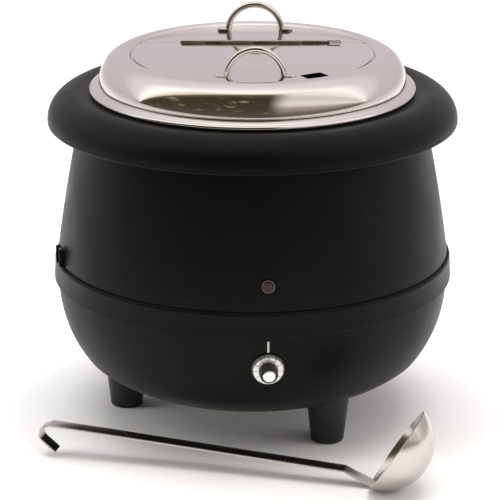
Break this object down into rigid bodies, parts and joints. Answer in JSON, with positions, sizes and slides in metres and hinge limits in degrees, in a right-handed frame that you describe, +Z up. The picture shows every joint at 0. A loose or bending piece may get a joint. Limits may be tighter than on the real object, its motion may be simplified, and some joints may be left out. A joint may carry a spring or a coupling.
{
  "type": "soup tureen",
  "caption": "Round electric soup kettle: black outer shell on three feet, lift-out steel pan, domed lid with a hinged front flap, and a ladle.",
  "frame": {"origin": "the kettle's vertical axis at floor level, under the feet", "axes": "+Z up, -Y towards the front, where the knob and lamp are, +X to the right seen from the front"},
  "size_m": [0.4059, 0.4713, 0.3903],
  "materials": {
    "black_paint": "satin black stove enamel",
    "mirror_steel": "mirror-polished stainless steel",
    "hinge_steel": "satin stainless steel",
    "cast_aluminium": "plain spun aluminium",
    "zinc_steel": "zinc-plated steel",
    "copper_brass": "copper and brass",
    "black_plastic": "moulded black plastic",
    "white_plastic": "ceramic-white moulding",
    "white_ink": "printed white line",
    "lamp_red": "dark red translucent plastic",
    "lamp_ring": "dark grey moulded plastic"
  },
  "bodies": {
    "root": {"base_plate": "zinc_steel", "base_screws": "zinc_steel", "bulb_clip": "zinc_steel", "cable_gland": "black_plastic", "capillary": "copper_brass", "collar": "black_paint", "collar_screws": "zinc_steel", "earth_stud": "zinc_steel", "foot_bolts": "zinc_steel", "foot_left": "black_plastic", "foot_rear": "black_plastic", "foot_right": "black_plastic", "gland_nut": "black_plastic", "heater_plate": "cast_aluminium", "heating_element": "zinc_steel", "index_mark": "white_ink", "lamp_holder": "lamp_ring", "lamp_lens": "lamp_red", "lamp_nut": "zinc_steel", "lower_shell": "black_paint", "lug_rivets": "zinc_steel", "overheat_cutout": "black_plastic", "sensor_bulb": "copper_brass", "side_lug": "black_paint", "terminal_block": "white_plastic", "terminal_screws": "copper_brass", "terminal_stand": "black_plastic", "thermostat": "black_plastic", "thermostat_bracket": "zinc_steel", "tie_brackets": "zinc_steel", "tie_nuts": "zinc_steel", "upper_shell": "black_paint", "well": "cast_aluminium"},
    "pan": {"inner_pan": "mirror_steel"},
    "lid": {"lid_dome": "mirror_steel", "rear_handle": "mirror_steel", "hinge_fixed_leaf": "hinge_steel", "hinge_pin": "hinge_steel"},
    "flap": {"lid_flap": "mirror_steel", "front_handle": "mirror_steel", "hinge_moving_leaf": "hinge_steel"},
    "knob": {"knob_dial": "hinge_steel", "knob_grip": "black_plastic", "knob_cap": "mirror_steel", "thermostat_shaft": "hinge_steel"},
    "ladle": {"ladle_bowl": "mirror_steel", "ladle_handle": "mirror_steel"}
  },
  "joints": [
    {"name": "pan_lift", "type": "slide", "parent": "root", "child": "pan", "axis": [0, 0, 1], "range_m": [0, 0.3]},
    {"name": "lid_lift", "type": "slide", "parent": "pan", "child": "lid", "axis": [0, 0, 1], "range_m": [0, 0.15]},
    {"name": "flap_hinge", "type": "hinge", "parent": "lid", "child": "flap", "pos_m": [0, 0.042, 0.3623], "axis": [-1, 0, 0], "range_deg": [0, 140]},
    {"name": "knob_turn", "type": "hinge", "parent": "root", "child": "knob", "pos_m": [0.0142, -0.18887, 0.106], "axis": [0.0741, -0.9849, -0.1564], "range_deg": [0, 270]},
    {"name": "ladle_lift", "type": "slide", "parent": "root", "child": "ladle", "axis": [0, -0.7071, 0.7071], "range_m": [0, 0.15]}
  ]
}
